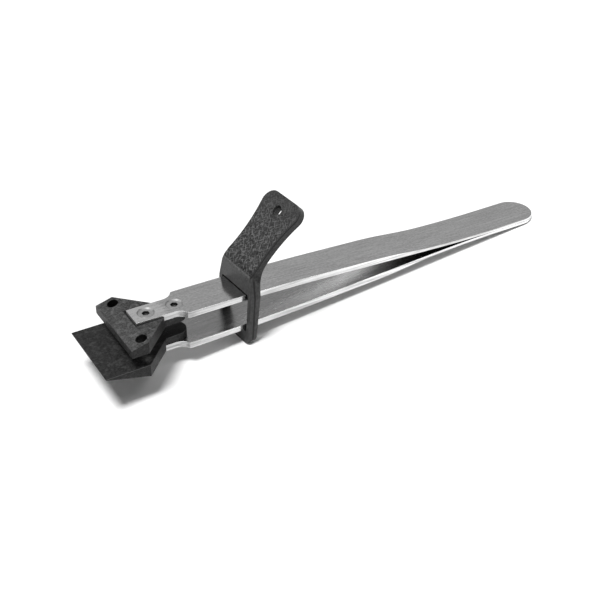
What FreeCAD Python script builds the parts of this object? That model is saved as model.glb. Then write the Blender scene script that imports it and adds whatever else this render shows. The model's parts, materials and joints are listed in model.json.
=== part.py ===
import FreeCAD, Part
import math
import os

# Locking flat-jaw tongs: two ground spring strips welded at the heel, each with a moulded jaw
# screwed to its front tab, and a moulded slide lock that runs along both strips.
# Tool frame while building: X runs back from the front of the tabs to the heel, Y is the width,
# Z is zero on the mid-plane between the strips. The last step lays the tool down as it rests.
# All lengths are millimetres.

# --- strips ---
STRIP_LENGTH = 119.2
STRIP_WIDTH = 10.0         # at the shoulders
HEEL_RADIUS = 5.3          # the sides spread a little towards the heel
STRIP_T = ((0, 1.67), (20, 1.52), (66, 1.50), (84, 0.72), (STRIP_LENGTH, 0.66))
GROUND_THIN = (66, 84)     # between these the strip is ground down to its springy part
HALF_GAP = 3.55            # inner face above the mid-plane at the front
FLAT_END = 12.0            # the inner face is parallel to the mid-plane up to here
BOW_END = 50.0             # end of the long front bow
HEEL_BOW_START = 84.0      # start of the short bow at the heel
WELD_FRONT = 106.0         # from here back the strips lie on each other
WELD_LINE = 0.03           # thin line left between the two strips at the weld

TAB_WIDTH = 6.1
TAB_STRAIGHT = 9.3         # straight sides of the tab and neck
NECK_RADIUS = 3.0
SHOULDER_ROUND = 0.5

# --- screws, M2 x 3 countersunk with a 1.3 mm hexagon socket ---
SCREW_X = {"front": 3.6, "rear": 10.8}
SCREW_R = 0.98
SCREW_HEAD_R = 1.9
SCREW_HEAD_H = 0.92
SCREW_LENGTH = 3.0
SCREW_SUNK = 0.2           # head below the strip's outer face
SOCKET_AF = 1.3
SOCKET_DEPTH = 0.6
STRIP_HOLE_R = 1.1
SINK_TOP_R = 2.12
JAW_HOLE_DEPTH = 1.65      # tapped hole, from the seat of the strip

# --- jaws ---
JAW_INNER = 1.65           # gripping face above the mid-plane
JAW_OUTER = 4.85
JAW_HALF_WIDTH = 10.4
JAW_SHOULDER_X = -0.4      # widest corner, where the 45 degree flank starts
UPPER_JAW_FRONT = -4.6
LOWER_JAW_FRONT = -11.2
JAW_LIP = 0.3              # thickness of the longer jaw at its front edge
TONGUE_HALF_WIDTH = 2.9
TONGUE_ROUND_X = 10.5      # centre of the tongue's round end
POCKET_CLEARANCE = 0.2
JAW_BORE_R = 1.35
JAW_BORE_X = -1.2
JAW_BORE_Y = 8.1

# --- slide lock: a plate with a window for both strips, and a thumb lever that leans back ---
LOCK_X = 27.35             # front of the fold at the middle of its width
LOCK_Y = 0.1               # the loose fit lets it sit a little to one side
LOCK_YAW = 3.4             # and a little askew, in degrees
LOCK_HALF_WIDTH = 7.2
LOCK_BOTTOM = -8.4
LOCK_TOE = 1.3             # the plate's foot stands this far in front of the fold
LOCK_TAPER_Z = 4.5         # from here up the plate narrows to the fold
LOCK_FOLD_Z = 10.15
LOCK_FOLD_HALF_WIDTH = 5.95
LOCK_T_BOTTOM = 2.15
LOCK_T_TOP = 3.0
LOCK_CORNER_R = 2.0
LOCK_FOOT_R = 1.1          # the foot's lower back edge
WINDOW_HALF_WIDTH = 5.85
WINDOW_HALF_HEIGHT = 5.15
WINDOW_CORNER_R = 0.5
LEVER_LEAN = 46.0          # degrees back from the plate
LEVER_LENGTH = 20.3
LEVER_T = 2.3
LEVER_STRAIGHT = 2.6       # the sides are straight this far up from the fold
LEVER_WAIST = (5.6, 8.0)   # half width and distance along the lever
LEVER_FLARE = 7.85         # half width at the top, before the corners are rounded
LEVER_TOP_R = 3.0
LEVER_CROTCH_R = 8.0       # inside bend between the plate's back and the lever's back
LEVER_FOLD_R = 3.0
LEVER_HOLE_R = 1.35
LEVER_HOLE_AT = 16.5

CUT_PAST = 1.0             # cutters reach this far past a face
CLOSE = 0.01               # two lengths that differ by less are the same
BIG = 200.0
ORIGIN = FreeCAD.Vector(0, 0, 0)
X_AXIS = FreeCAD.Vector(1, 0, 0)
Y_AXIS = FreeCAD.Vector(0, 1, 0)
Z_AXIS = FreeCAD.Vector(0, 0, 1)


def vec(x, y, z):
    return FreeCAD.Vector(x, y, z)


def line(a, b):
    return Part.LineSegment(a, b).toShape()


def arc(a, middle, b):
    return Part.Arc(a, middle, b).toShape()


def cylinder(radius, length, base, axis):
    return Part.makeCylinder(radius, length, base, axis)


def mirrored_down(shape):
    """The same shape on the lower side of the mid-plane."""
    return shape.mirror(ORIGIN, Z_AXIS)


# ---------------------------------------------------------------- strips


def strip_slope():
    """Slope of the straight stretch, so that the two bows and it add up to the half gap."""
    run = (BOW_END - FLAT_END) / 2 + (HEEL_BOW_START - BOW_END) + (WELD_FRONT - HEEL_BOW_START) / 2
    return (HALF_GAP - WELD_LINE / 2) / run


def inner_z(x):
    """Height of the strip's inner face above the mid-plane."""
    slope = strip_slope()
    if x <= FLAT_END:
        return HALF_GAP
    if x <= BOW_END:
        return HALF_GAP - slope * (x - FLAT_END) ** 2 / (2 * (BOW_END - FLAT_END))
    at_bow_end = HALF_GAP - slope * (BOW_END - FLAT_END) / 2
    if x <= HEEL_BOW_START:
        return at_bow_end - slope * (x - BOW_END)
    if x <= WELD_FRONT:
        back = WELD_FRONT - x
        return WELD_LINE / 2 + slope * back ** 2 / (2 * (WELD_FRONT - HEEL_BOW_START))
    return WELD_LINE / 2


def thickness(x):
    """Thickness of the strip: thick up to GROUND_THIN, then an easy S down to the thin part."""
    for (front, t_front), (back, t_back) in zip(STRIP_T, STRIP_T[1:]):
        if x <= back:
            share = (x - front) / (back - front)
            if (front, back) == GROUND_THIN:
                share = share ** 2 * (3 - 2 * share)
            return t_front + (t_back - t_front) * share
    return STRIP_T[-1][1]


def outer_z(x):
    """Height of the strip's outer face."""
    return inner_z(x) + thickness(x)


def face_edges(height, x_front, x_back):
    """Edges of one long face seen from the side, a line or an arc between each two stops."""
    def at(x):
        return vec(x, -BIG / 2, height(x))

    turns = {FLAT_END, BOW_END, HEEL_BOW_START, WELD_FRONT, sum(GROUND_THIN) / 2}
    turns |= {x for x, _ in STRIP_T}
    stops = [x_front] + sorted(x for x in turns if x_front < x < x_back) + [x_back]
    edges = []
    for a, b in zip(stops, stops[1:]):
        middle = (a + b) / 2
        sag = height(middle) - (height(a) + height(b)) / 2
        straight = abs(sag) < CLOSE / 10
        edges.append(line(at(a), at(b)) if straight else arc(at(a), at(middle), at(b)))
    return edges


def side_prism(top_height, x_front, x_back):
    """Everything between the strip's inner face and top_height, across the whole width."""
    low = face_edges(inner_z, x_front, x_back)
    high = face_edges(top_height, x_front, x_back)
    ends = [
        line(vec(x, -BIG / 2, inner_z(x)), vec(x, -BIG / 2, top_height(x)))
        for x in (x_front, x_back)
    ]
    wire = Part.Wire(Part.__sortEdges__(low + high + ends))
    return Part.Face(wire).extrude(vec(0, BIG, 0))


def neck_arc_end():
    """Where the neck's hollow meets the full width."""
    rise = (STRIP_WIDTH - TAB_WIDTH) / 2
    return TAB_STRAIGHT + math.sqrt(NECK_RADIUS ** 2 - (NECK_RADIUS - rise) ** 2)


def strip_outline():
    """Plan shape of a strip: tab, hollow neck, shoulders, nearly parallel sides, round heel."""
    tab = TAB_WIDTH / 2
    half = STRIP_WIDTH / 2
    shoulder = neck_arc_end()
    heel = STRIP_LENGTH - HEEL_RADIUS
    turn = 0.5 * math.acos((NECK_RADIUS - (half - tab)) / NECK_RADIUS)
    edges = [line(vec(0, -tab, 0), vec(0, tab, 0))]
    for side in (1, -1):
        hollow = vec(
            TAB_STRAIGHT + NECK_RADIUS * math.sin(turn),
            side * (tab + NECK_RADIUS * (1 - math.cos(turn))),
            0,
        )
        neck_start = vec(TAB_STRAIGHT, side * tab, 0)
        edges.append(line(vec(0, side * tab, 0), neck_start))
        edges.append(arc(neck_start, hollow, vec(shoulder, side * half, 0)))
        edges.append(line(vec(shoulder, side * half, 0), vec(heel, side * HEEL_RADIUS, 0)))
    tip = vec(STRIP_LENGTH, 0, 0)
    edges.append(arc(vec(heel, HEEL_RADIUS, 0), tip, vec(heel, -HEEL_RADIUS, 0)))
    return Part.Face(Part.Wire(Part.__sortEdges__(edges)))


def rounded_shoulders(solid):
    """Takes the sharp corner off the two shoulders behind the neck."""
    corners = [
        edge
        for edge in solid.Edges
        if abs(edge.CenterOfMass.x - neck_arc_end()) < CLOSE
        and abs(abs(edge.CenterOfMass.y) - STRIP_WIDTH / 2) < CLOSE
    ]
    return solid.makeFillet(SHOULDER_ROUND, corners)


def make_strip():
    """The upper strip, with its two countersunk holes."""
    solid = side_prism(outer_z, 0, STRIP_LENGTH).common(strip_outline().extrude(vec(0, 0, BIG)))
    solid = rounded_shoulders(solid)
    for x in SCREW_X.values():
        top = outer_z(x)
        depth = SINK_TOP_R - STRIP_HOLE_R
        solid = solid.cut(cylinder(STRIP_HOLE_R, BIG, vec(x, 0, -BIG / 2), Z_AXIS))
        sink = Part.makeCone(
            STRIP_HOLE_R,
            SINK_TOP_R + CUT_PAST,
            depth + CUT_PAST,
            vec(x, 0, top - depth),
            Z_AXIS,
        )
        solid = solid.cut(sink)
    return solid


# ---------------------------------------------------------------- screws


def make_screw(x):
    """A countersunk socket screw, its head just under the strip's outer face."""
    top = outer_z(x) - SCREW_SUNK
    cone_h = SCREW_HEAD_R - SCREW_R
    rim_h = SCREW_HEAD_H - cone_h
    shank = cylinder(SCREW_R, SCREW_LENGTH, vec(x, 0, top - SCREW_LENGTH), Z_AXIS)
    cone = Part.makeCone(SCREW_R, SCREW_HEAD_R, cone_h, vec(x, 0, top - SCREW_HEAD_H), Z_AXIS)
    solid = shank.fuse(cone)
    if rim_h > 0.001:
        solid = solid.fuse(cylinder(SCREW_HEAD_R, rim_h, vec(x, 0, top - rim_h), Z_AXIS))
    corner = SOCKET_AF / math.sqrt(3)
    points = [
        vec(x + corner * math.cos(k * math.pi / 3), corner * math.sin(k * math.pi / 3), top)
        for k in range(7)
    ]
    socket = Part.Face(Part.makePolygon(points)).extrude(vec(0, 0, -SOCKET_DEPTH))
    return solid.cut(socket).removeSplitter()


# ---------------------------------------------------------------- jaws


def jaw_outline(front):
    """Plan shape of a jaw: a wide front, 45 degree flanks and a tongue with a round end."""
    wide = JAW_HALF_WIDTH
    slim = TONGUE_HALF_WIDTH
    flank_end = JAW_SHOULDER_X + wide - slim
    tongue_end = TONGUE_ROUND_X
    edges = [line(vec(front, -wide, 0), vec(front, wide, 0))]
    for side in (1, -1):
        corners = [
            vec(front, side * wide, 0),
            vec(JAW_SHOULDER_X, side * wide, 0),
            vec(flank_end, side * slim, 0),
            vec(tongue_end, side * slim, 0),
        ]
        edges += [line(a, b) for a, b in zip(corners, corners[1:])]
    tip = vec(tongue_end + slim, 0, 0)
    edges.append(arc(vec(tongue_end, slim, 0), tip, vec(tongue_end, -slim, 0)))
    return Part.Face(Part.Wire(Part.__sortEdges__(edges)))


def ramp_cutter():
    """Everything above the ramp that thins a jaw towards its front edge."""
    slope = (JAW_OUTER - JAW_INNER - JAW_LIP) / (JAW_SHOULDER_X - LOWER_JAW_FRONT)
    front = LOWER_JAW_FRONT - CUT_PAST
    corners = [
        vec(JAW_SHOULDER_X, -BIG / 2, JAW_OUTER),
        vec(front, -BIG / 2, JAW_OUTER - slope * (JAW_SHOULDER_X - front)),
        vec(front, -BIG / 2, BIG),
        vec(JAW_SHOULDER_X, -BIG / 2, BIG),
    ]
    wire = Part.makePolygon(corners + corners[:1])
    return Part.Face(wire).extrude(vec(0, BIG, 0))


def tab_pocket():
    """Room for the tab: a channel open at the back, its floor on the strip's inner face."""
    front = -POCKET_CLEARANCE
    half = TAB_WIDTH / 2 + POCKET_CLEARANCE
    channel = Part.makeBox(BIG, 2 * half, BIG, vec(front, -half, 0))
    return side_prism(lambda x: inner_z(x) + JAW_OUTER, front, STRIP_LENGTH).common(channel)


def make_jaw(front, bored):
    """A jaw for the upper strip; front is its front edge, bored adds the two round holes."""
    solid = jaw_outline(front).extrude(vec(0, 0, JAW_OUTER - JAW_INNER))
    solid.translate(vec(0, 0, JAW_INNER))
    solid = solid.cut(ramp_cutter()).cut(tab_pocket())
    for x in SCREW_X.values():
        seat = inner_z(x)
        solid = solid.cut(
            cylinder(SCREW_R, JAW_HOLE_DEPTH + CUT_PAST, vec(x, 0, seat - JAW_HOLE_DEPTH), Z_AXIS)
        )
    if bored:
        for side in (1, -1):
            bore = cylinder(JAW_BORE_R, BIG, vec(JAW_BORE_X, side * JAW_BORE_Y, -BIG / 2), Z_AXIS)
            solid = solid.cut(bore)
    return solid.removeSplitter()


# ---------------------------------------------------------------- slide lock


def lever_direction():
    lean = math.radians(LEVER_LEAN)
    return vec(math.sin(lean), 0, math.cos(lean))


def lock_side_profile():
    """The lock seen from the side: a tapered plate and a lever leaning back, y = -BIG/2."""
    along = lever_direction()
    through = vec(along.z, 0, -along.x)
    fold = vec(0, -BIG / 2, LOCK_FOLD_Z)
    top_front = fold + along * LEVER_LENGTH
    top_back = top_front + through * LEVER_T
    lever_back = fold + through * LEVER_T
    # the plate's back leans outwards as it rises, and meets the lever's back at the crotch
    foot_front = vec(-LOCK_TOE, -BIG / 2, LOCK_BOTTOM)
    foot_back = foot_front + vec(LOCK_T_BOTTOM, 0, 0)
    grow = (LOCK_T_TOP - foot_back.x) / (LOCK_FOLD_Z - LOCK_BOTTOM)
    reach = (foot_back.x - lever_back.x + grow * (lever_back.z - LOCK_BOTTOM)) / (
        along.x - grow * along.z
    )
    crotch = lever_back + along * reach
    corners = [foot_front, fold, top_front, top_back, crotch, foot_back]
    return Part.Face(Part.makePolygon(corners + corners[:1])), fold, crotch, foot_back


def lock_body():
    """Side profile across the full width, with the crotch and the fold rounded."""
    face, fold, crotch, foot_back = lock_side_profile()
    solid = face.extrude(vec(0, BIG, 0))

    def edge_at(point):
        return [
            e
            for e in solid.Edges
            if abs(e.CenterOfMass.x - point.x) < CLOSE and abs(e.CenterOfMass.z - point.z) < CLOSE
        ]

    solid = solid.makeFillet(LEVER_CROTCH_R, edge_at(crotch))
    solid = solid.makeFillet(LOCK_FOOT_R, edge_at(foot_back))
    return solid.makeFillet(LEVER_FOLD_R, edge_at(fold))


def plate_prism():
    """The plate's shape from the front, as a prism along X: round feet, sides narrowing upwards."""
    x = -BIG / 2
    corners = [
        vec(x, -LOCK_HALF_WIDTH, LOCK_BOTTOM),
        vec(x, LOCK_HALF_WIDTH, LOCK_BOTTOM),
        vec(x, LOCK_HALF_WIDTH, LOCK_TAPER_Z),
        vec(x, LOCK_FOLD_HALF_WIDTH, LOCK_FOLD_Z),
        vec(x, -LOCK_FOLD_HALF_WIDTH, LOCK_FOLD_Z),
        vec(x, -LOCK_HALF_WIDTH, LOCK_TAPER_Z),
    ]
    prism = Part.Face(Part.makePolygon(corners + corners[:1])).extrude(vec(BIG, 0, 0))
    feet = [
        e
        for e in prism.Edges
        if abs(e.CenterOfMass.z - LOCK_BOTTOM) < CLOSE and abs(e.CenterOfMass.y) > CLOSE
    ]
    return prism.makeFillet(LOCK_CORNER_R, feet)


def lever_prism():
    """The lever's shape square to its own face, as a prism through it: waist, flare, round top."""
    waist_w, waist_at = LEVER_WAIST
    low = -LEVER_STRAIGHT
    edges = []
    for side in (1, -1):
        start = vec(side * LOCK_FOLD_HALF_WIDTH, low, 0)
        rise = vec(side * LOCK_FOLD_HALF_WIDTH, LEVER_STRAIGHT, 0)
        top = vec(side * LEVER_FLARE, LEVER_LENGTH, 0)
        edges.append(line(start, rise))
        edges.append(arc(rise, vec(side * waist_w, waist_at, 0), top))
    edges.append(line(vec(-LOCK_FOLD_HALF_WIDTH, low, 0), vec(LOCK_FOLD_HALF_WIDTH, low, 0)))
    edges.append(line(vec(-LEVER_FLARE, LEVER_LENGTH, 0), vec(LEVER_FLARE, LEVER_LENGTH, 0)))
    prism = Part.Face(Part.Wire(Part.__sortEdges__(edges))).extrude(vec(0, 0, BIG))
    top_corners = [
        e
        for e in prism.Edges
        if abs(e.CenterOfMass.y - LEVER_LENGTH) < CLOSE
        and abs(abs(e.CenterOfMass.x) - LEVER_FLARE) < CLOSE
    ]
    prism = prism.makeFillet(LEVER_TOP_R, top_corners)
    prism.translate(vec(0, 0, -BIG / 2))
    # outline x becomes the width, outline y runs up the lever, and the prism goes through it
    along = lever_direction()
    through = vec(along.z, 0, -along.x)
    turn = FreeCAD.Matrix(
        0, along.x, through.x, 0,
        1, along.y, through.y, 0,
        0, along.z, through.z, LOCK_FOLD_Z,
        0, 0, 0, 1,
    )
    return prism.transformGeometry(turn)


def window_prism():
    """The window for the two strips, with slightly rounded corners."""
    box = Part.makeBox(
        BIG,
        2 * WINDOW_HALF_WIDTH,
        2 * WINDOW_HALF_HEIGHT,
        vec(-BIG / 2, -WINDOW_HALF_WIDTH, -WINDOW_HALF_HEIGHT),
    )
    long_edges = [e for e in box.Edges if abs(e.Length - BIG) < CLOSE]
    return box.makeFillet(WINDOW_CORNER_R, long_edges)


def make_slide_lock():
    """The one-piece lock, turned by its small yaw and set on the strips."""
    solid = lock_body().common(plate_prism().fuse(lever_prism())).cut(window_prism())
    along = lever_direction()
    through = vec(along.z, 0, -along.x)
    hole_at = vec(0, 0, LOCK_FOLD_Z) + along * LEVER_HOLE_AT
    solid = solid.cut(cylinder(LEVER_HOLE_R, 2 * BIG, hole_at - through * BIG, through))
    solid.rotate(ORIGIN, Z_AXIS, LOCK_YAW)
    solid.translate(vec(LOCK_X, LOCK_Y, 0))
    return solid


# ---------------------------------------------------------------- laying the tool down


def rest_angle():
    """Angle to the table: the tool lies on the lock's lower back edge and on its heel."""
    drop = -LOCK_BOTTOM - outer_z(STRIP_LENGTH)
    span = STRIP_LENGTH - (LOCK_X - LOCK_TOE + LOCK_T_BOTTOM - LOCK_FOOT_R)
    return math.degrees(math.atan2(drop, span))


def make_all():
    strip = make_strip()
    upper_jaw = make_jaw(UPPER_JAW_FRONT, True)
    lower_jaw = make_jaw(LOWER_JAW_FRONT, False)
    parts = {
        "upper_arm": strip,
        "lower_arm": mirrored_down(strip),
        "upper_jaw": upper_jaw,
        "lower_jaw": mirrored_down(lower_jaw),
        "slide_lock": make_slide_lock(),
    }
    for place, x in SCREW_X.items():
        screw = make_screw(x)
        parts[f"upper_jaw_screw_{place}"] = screw
        parts[f"lower_jaw_screw_{place}"] = mirrored_down(screw)
    return parts


def bounds(shapes):
    box = FreeCAD.BoundBox()
    for shape in shapes:
        box.add(shape.optimalBoundingBox(False))
    return box


def main():
    os.makedirs("parts", exist_ok=True)
    parts = make_all()
    for shape in parts.values():
        shape.rotate(ORIGIN, Y_AXIS, rest_angle())
    box = bounds(parts.values())
    shift = vec(-(box.XMin + box.XMax) / 2, -(box.YMin + box.YMax) / 2, -box.ZMin)
    for name, shape in parts.items():
        shape.translate(shift)
        solid = shape.Solids[0]
        print(name, len(shape.Solids), solid.isValid(), round(solid.Volume, 2))
        solid.exportStep(f"parts/{name}.step")
    print("rest angle", round(rest_angle(), 4))
    print("shift", [round(v, 4) for v in shift])
    print("size", [round(v, 3) for v in (box.XLength, box.YLength, box.ZLength)])


main()
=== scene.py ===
"""Locking flat-jaw tongs: detailed pieces, finishes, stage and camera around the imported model.

Everything is in metres unless a name ends in _mm. Pieces are shaped in the tool's own frame, where
X runs back from the front of the tabs to the heel, Y is the width and Z is zero on the mid-plane
between the two strips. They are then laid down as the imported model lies.
"""

import json
import logging
import math
from dataclasses import dataclass, field
from enum import Enum
from typing import Callable, Iterable, Union

import bmesh
import bpy
from mathutils import Matrix, Vector


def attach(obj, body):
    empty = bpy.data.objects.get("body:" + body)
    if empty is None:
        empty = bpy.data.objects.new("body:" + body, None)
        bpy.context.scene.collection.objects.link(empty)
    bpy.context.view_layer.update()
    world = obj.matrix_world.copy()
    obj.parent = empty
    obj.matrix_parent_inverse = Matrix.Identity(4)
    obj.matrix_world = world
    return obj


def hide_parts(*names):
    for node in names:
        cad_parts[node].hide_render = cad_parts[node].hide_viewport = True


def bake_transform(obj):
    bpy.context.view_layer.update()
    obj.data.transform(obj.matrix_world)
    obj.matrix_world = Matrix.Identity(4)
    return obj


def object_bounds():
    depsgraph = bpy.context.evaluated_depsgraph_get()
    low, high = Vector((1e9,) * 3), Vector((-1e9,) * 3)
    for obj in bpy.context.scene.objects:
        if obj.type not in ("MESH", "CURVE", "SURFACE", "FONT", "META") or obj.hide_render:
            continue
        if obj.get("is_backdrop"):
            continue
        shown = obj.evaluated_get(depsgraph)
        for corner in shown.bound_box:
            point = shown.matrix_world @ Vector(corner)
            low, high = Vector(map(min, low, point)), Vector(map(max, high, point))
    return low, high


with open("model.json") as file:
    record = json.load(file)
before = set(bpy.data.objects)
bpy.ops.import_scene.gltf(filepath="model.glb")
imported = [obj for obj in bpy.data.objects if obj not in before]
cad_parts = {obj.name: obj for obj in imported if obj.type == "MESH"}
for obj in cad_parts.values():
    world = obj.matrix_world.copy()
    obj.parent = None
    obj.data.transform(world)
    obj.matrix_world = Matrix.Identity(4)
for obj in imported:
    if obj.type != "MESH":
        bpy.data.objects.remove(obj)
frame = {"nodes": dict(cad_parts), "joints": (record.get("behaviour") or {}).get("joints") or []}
CAD_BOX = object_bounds()

log = logging.getLogger("tongs")
MM = 0.001
TIGHT = 1e-6                 # vertices closer than this are one
PIVOT_X = 103.0 * MM         # where the strips' hinge stands along the tool
PIECE_XYZ = "piece_xyz"      # attribute: a vertex's place in the tool's own frame
LARGE_FACES_FIRST = 90       # how much large faces pull the normals
ROUND_STEPS = 48             # faces round a turned piece
ORIGIN = Vector((0, 0, 0))
BACK = Vector((1, 0, 0))
ACROSS = Vector((0, 1, 0))
UP = Vector((0, 0, 1))


# ------------------------------------------------------------------------------------ shader kit


Number = Union["Sig", float]


class Sig:
    """A shader socket that takes part in Python arithmetic."""

    def __init__(self, recipe: "Recipe", socket: bpy.types.NodeSocket) -> None:
        """Wraps a socket of the recipe's tree."""
        self.recipe = recipe
        self.socket = socket

    def math(self, operation: str, *values: Number) -> "Sig":
        """Adds one Math node whose first value is this signal.

        Args:
            operation: The Math node's operation.
            values: The other values, signals or numbers.

        Returns:
            The node's result.
        """
        sockets = dict(enumerate((self, *values)))
        return self.recipe.node("ShaderNodeMath", {"operation": operation}, sockets)

    def __add__(self, other: Number) -> "Sig":
        """self + other."""
        return self.math("ADD", other)

    def __radd__(self, other: float) -> "Sig":
        """other + self."""
        return self.math("ADD", other)

    def __sub__(self, other: Number) -> "Sig":
        """self - other."""
        return self.math("SUBTRACT", other)

    def __rsub__(self, other: float) -> "Sig":
        """other - self."""
        return self.recipe.number(other).math("SUBTRACT", self)

    def __mul__(self, other: Number) -> "Sig":
        """self * other."""
        return self.math("MULTIPLY", other)

    def __rmul__(self, other: float) -> "Sig":
        """other * self."""
        return self.math("MULTIPLY", other)

    def __truediv__(self, other: Number) -> "Sig":
        """self / other."""
        return self.math("DIVIDE", other)

    def step(self, low: float, high: float) -> "Sig":
        """A smooth step from 0 at low to 1 at high.

        Args:
            low: Where the step starts.
            high: Where it ends; below low for a falling step.

        Returns:
            The stepped signal, from 0 to 1.
        """
        if low > high:
            return 1.0 - self.step(high, low)
        ranges = {"From Min": low, "From Max": high, "To Min": 0.0, "To Max": 1.0}
        settings = {"interpolation_type": "SMOOTHSTEP", "clamp": True}
        return self.recipe.node("ShaderNodeMapRange", settings, {"Value": self, **ranges})

    def between(self, low: float, high: float, soft: float) -> "Sig":
        """1 between low and high, falling to 0 over soft on either side."""
        return self.step(low - soft, low) * self.step(high + soft, high)


class Recipe:
    """One material's node tree, and short ways to add to it."""

    def __init__(self, name: str) -> None:
        """Starts an empty material."""
        self.material = bpy.data.materials.new(name)
        self.material.use_nodes = True
        self.tree = self.material.node_tree
        self.tree.nodes.clear()
        self.where = self.node("ShaderNodeAttribute", {"attribute_name": PIECE_XYZ}, {}, "Vector")

    def node(self, kind: str, settings: dict, sockets: dict, output: Union[str, int] = 0) -> Sig:
        """Adds a node.

        Args:
            kind: The node's type.
            settings: Its properties, set before its sockets.
            sockets: Values or signals, by socket name or number.
            output: Which of its outputs to return.

        Returns:
            The chosen output as a signal.
        """
        made = self.tree.nodes.new(kind)
        for name, value in settings.items():
            setattr(made, name, value)
        for name, value in sockets.items():
            if isinstance(value, Sig):
                self.tree.links.new(value.socket, made.inputs[name])
            else:
                made.inputs[name].default_value = value
        return Sig(self, made.outputs[output])

    def number(self, value: float) -> Sig:
        """A constant as a signal."""
        made = self.node("ShaderNodeValue", {}, {})
        made.socket.default_value = value
        return made

    def along(self, direction: Vector, start: Vector = ORIGIN) -> Sig:
        """Distance in millimetres along a direction in the tool's frame.

        Args:
            direction: A unit vector.
            start: The point where the distance is zero, in metres.

        Returns:
            The signed distance.
        """
        dot = self.node(
            "ShaderNodeVectorMath",
            {"operation": "DOT_PRODUCT"},
            {0: self.where, 1: tuple(direction)},
            "Value",
        )
        return (dot - direction.dot(start)) * (1 / MM)

    def facing(self, direction: Vector) -> Sig:
        """How far the surface faces a direction: 1 towards it, 0 sideways, -1 away from it."""
        normal = self.node("ShaderNodeNewGeometry", {}, {}, "Normal")
        settings = {"operation": "DOT_PRODUCT"}
        sockets = {0: normal, 1: tuple(direction)}
        return self.node("ShaderNodeVectorMath", settings, sockets, "Value")

    def scaled(self, sizes_mm: tuple[float, float, float], shift: float) -> Sig:
        """The place on the piece, counted in steps of a size along each axis."""
        scale = tuple(1 / (MM * size) for size in sizes_mm)
        sockets = {0: self.where, "Location": (shift,) * 3, "Scale": scale}
        return self.node("ShaderNodeMapping", {}, sockets)

    def noise(
        self,
        size_mm: float,
        detail: float = 2.0,
        stretch: tuple[float, float, float] = (1.0, 1.0, 1.0),
        shift: float = 0.0,
        distortion: float = 0.0,
        roughness: float = 0.5,
    ) -> Sig:
        """Soft noise whose blotches are about size_mm across.

        Args:
            size_mm: The size of a blotch.
            detail: Octaves of finer noise.
            stretch: How much longer the blotches are along each axis.
            shift: Moves the pattern, so that two layers differ.
            distortion: How much the blotches curl.
            roughness: How strong the finer octaves are.

        Returns:
            The noise, about 0.5 on average.
        """
        sockets = {
            "Vector": self.scaled(tuple(size_mm * s for s in stretch), shift),
            "Scale": 1.0,
            "Detail": detail,
            "Roughness": roughness,
            "Distortion": distortion,
        }
        return self.node("ShaderNodeTexNoise", {}, sockets)

    def cells(self, size_mm: float, shift: float = 0.0) -> Sig:
        """Distance to the nearest cell centre, in cells of about size_mm."""
        sockets = {"Vector": self.scaled((size_mm,) * 3, shift), "Scale": 1.0}
        return self.node("ShaderNodeTexVoronoi", {"feature": "F1"}, sockets, "Distance")

    def grey(self, value: Sig) -> Sig:
        """A neutral colour of that brightness."""
        return self.node(
            "ShaderNodeCombineColor", {}, {"Red": value, "Green": value, "Blue": value}
        )

    def finish(self, base: Sig, roughness: Number, height: Sig, depth_mm: float, **fixed) -> None:
        """Ends the material with one Principled shader.

        Args:
            base: The base colour.
            roughness: The roughness.
            height: The relief, from 0 to 1.
            depth_mm: How deep the relief is.
            fixed: Constant values by socket name, with underscores for spaces.
        """
        bump = self.node(
            "ShaderNodeBump",
            {},
            {"Height": height, "Distance": depth_mm * MM, "Strength": 1.0},
        )
        constants = {name.replace("_", " "): value for name, value in fixed.items()}
        shader = self.node(
            "ShaderNodeBsdfPrincipled",
            {},
            {"Base Color": base, "Roughness": roughness, "Normal": bump, **constants},
        )
        self.node_output(shader)

    def node_output(self, shader: Sig) -> None:
        """Links a shader to the material's output."""
        output = self.tree.nodes.new("ShaderNodeOutputMaterial")
        self.tree.links.new(shader.socket, output.inputs["Surface"])


# ------------------------------------------------------------------------------------ finishes


@dataclass(frozen=True)
class SatinSteel:
    """Ground strip face: fine lengthwise lines over a soft grey sheen, with painted light: a
    brighter middle stretch, a lighter tab and painted shade towards the heel.
    """

    name: str = "satin_strip_steel"
    tone: float = 0.72
    roughness: float = 0.14
    line_mm: float = 0.30
    line_stretch: float = 45.0
    line_depth_mm: float = 0.0040
    line_contrast: float = 0.60
    line_roughness: float = 0.14
    cloud_mm: float = 5.0
    cloud_contrast: float = 0.22
    cloud_roughness: float = 0.10
    speckle_mm: float = 0.40
    speckle_contrast: float = 0.55
    # painted light along the length: a brighter middle stretch, a lighter tab, and painted shade
    # towards the heel
    painted_sheen_mm: tuple[float, float] = (36.0, 66.0)
    painted_sheen_gain: float = 0.0
    tab_mm: tuple[float, float] = (9.0, 6.5)
    painted_tab_light: float = 0.0
    wedge_mm: tuple[float, float] = (60.0, 77.0)
    wedge_shade: float = 0.0

    def make(self) -> bpy.types.Material:
        """Builds the material."""
        r = Recipe(self.name)
        lines = r.noise(self.line_mm, 3.0, (self.line_stretch, 1.0, 1.0))
        cloud = r.noise(self.cloud_mm, 3.0, (2.5, 1.0, 1.0), shift=3.0) - 0.5
        speckle = r.noise(self.speckle_mm, 2.0, (1.6, 1.0, 1.0), shift=7.0) - 0.5
        along = r.along(BACK)
        # painted reflection in the middle stretch, painted highlight on the tab, painted shade
        # towards the heel
        painted_lighting = along.step(*self.painted_sheen_mm) * self.painted_sheen_gain + 1.0
        painted_lighting = painted_lighting + along.step(*self.tab_mm) * self.painted_tab_light
        painted_lighting = painted_lighting * (1.0 - along.step(*self.wedge_mm) * self.wedge_shade)
        uneven = (lines - 0.5) * self.line_contrast + cloud * self.cloud_contrast
        uneven = uneven + speckle * self.speckle_contrast
        tone = (uneven + 1.0) * painted_lighting * self.tone
        rough = (lines - 0.5) * self.line_roughness + cloud * self.cloud_roughness + self.roughness
        r.finish(r.grey(tone), rough, lines, self.line_depth_mm, Metallic=1.0)
        return r.material


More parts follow.
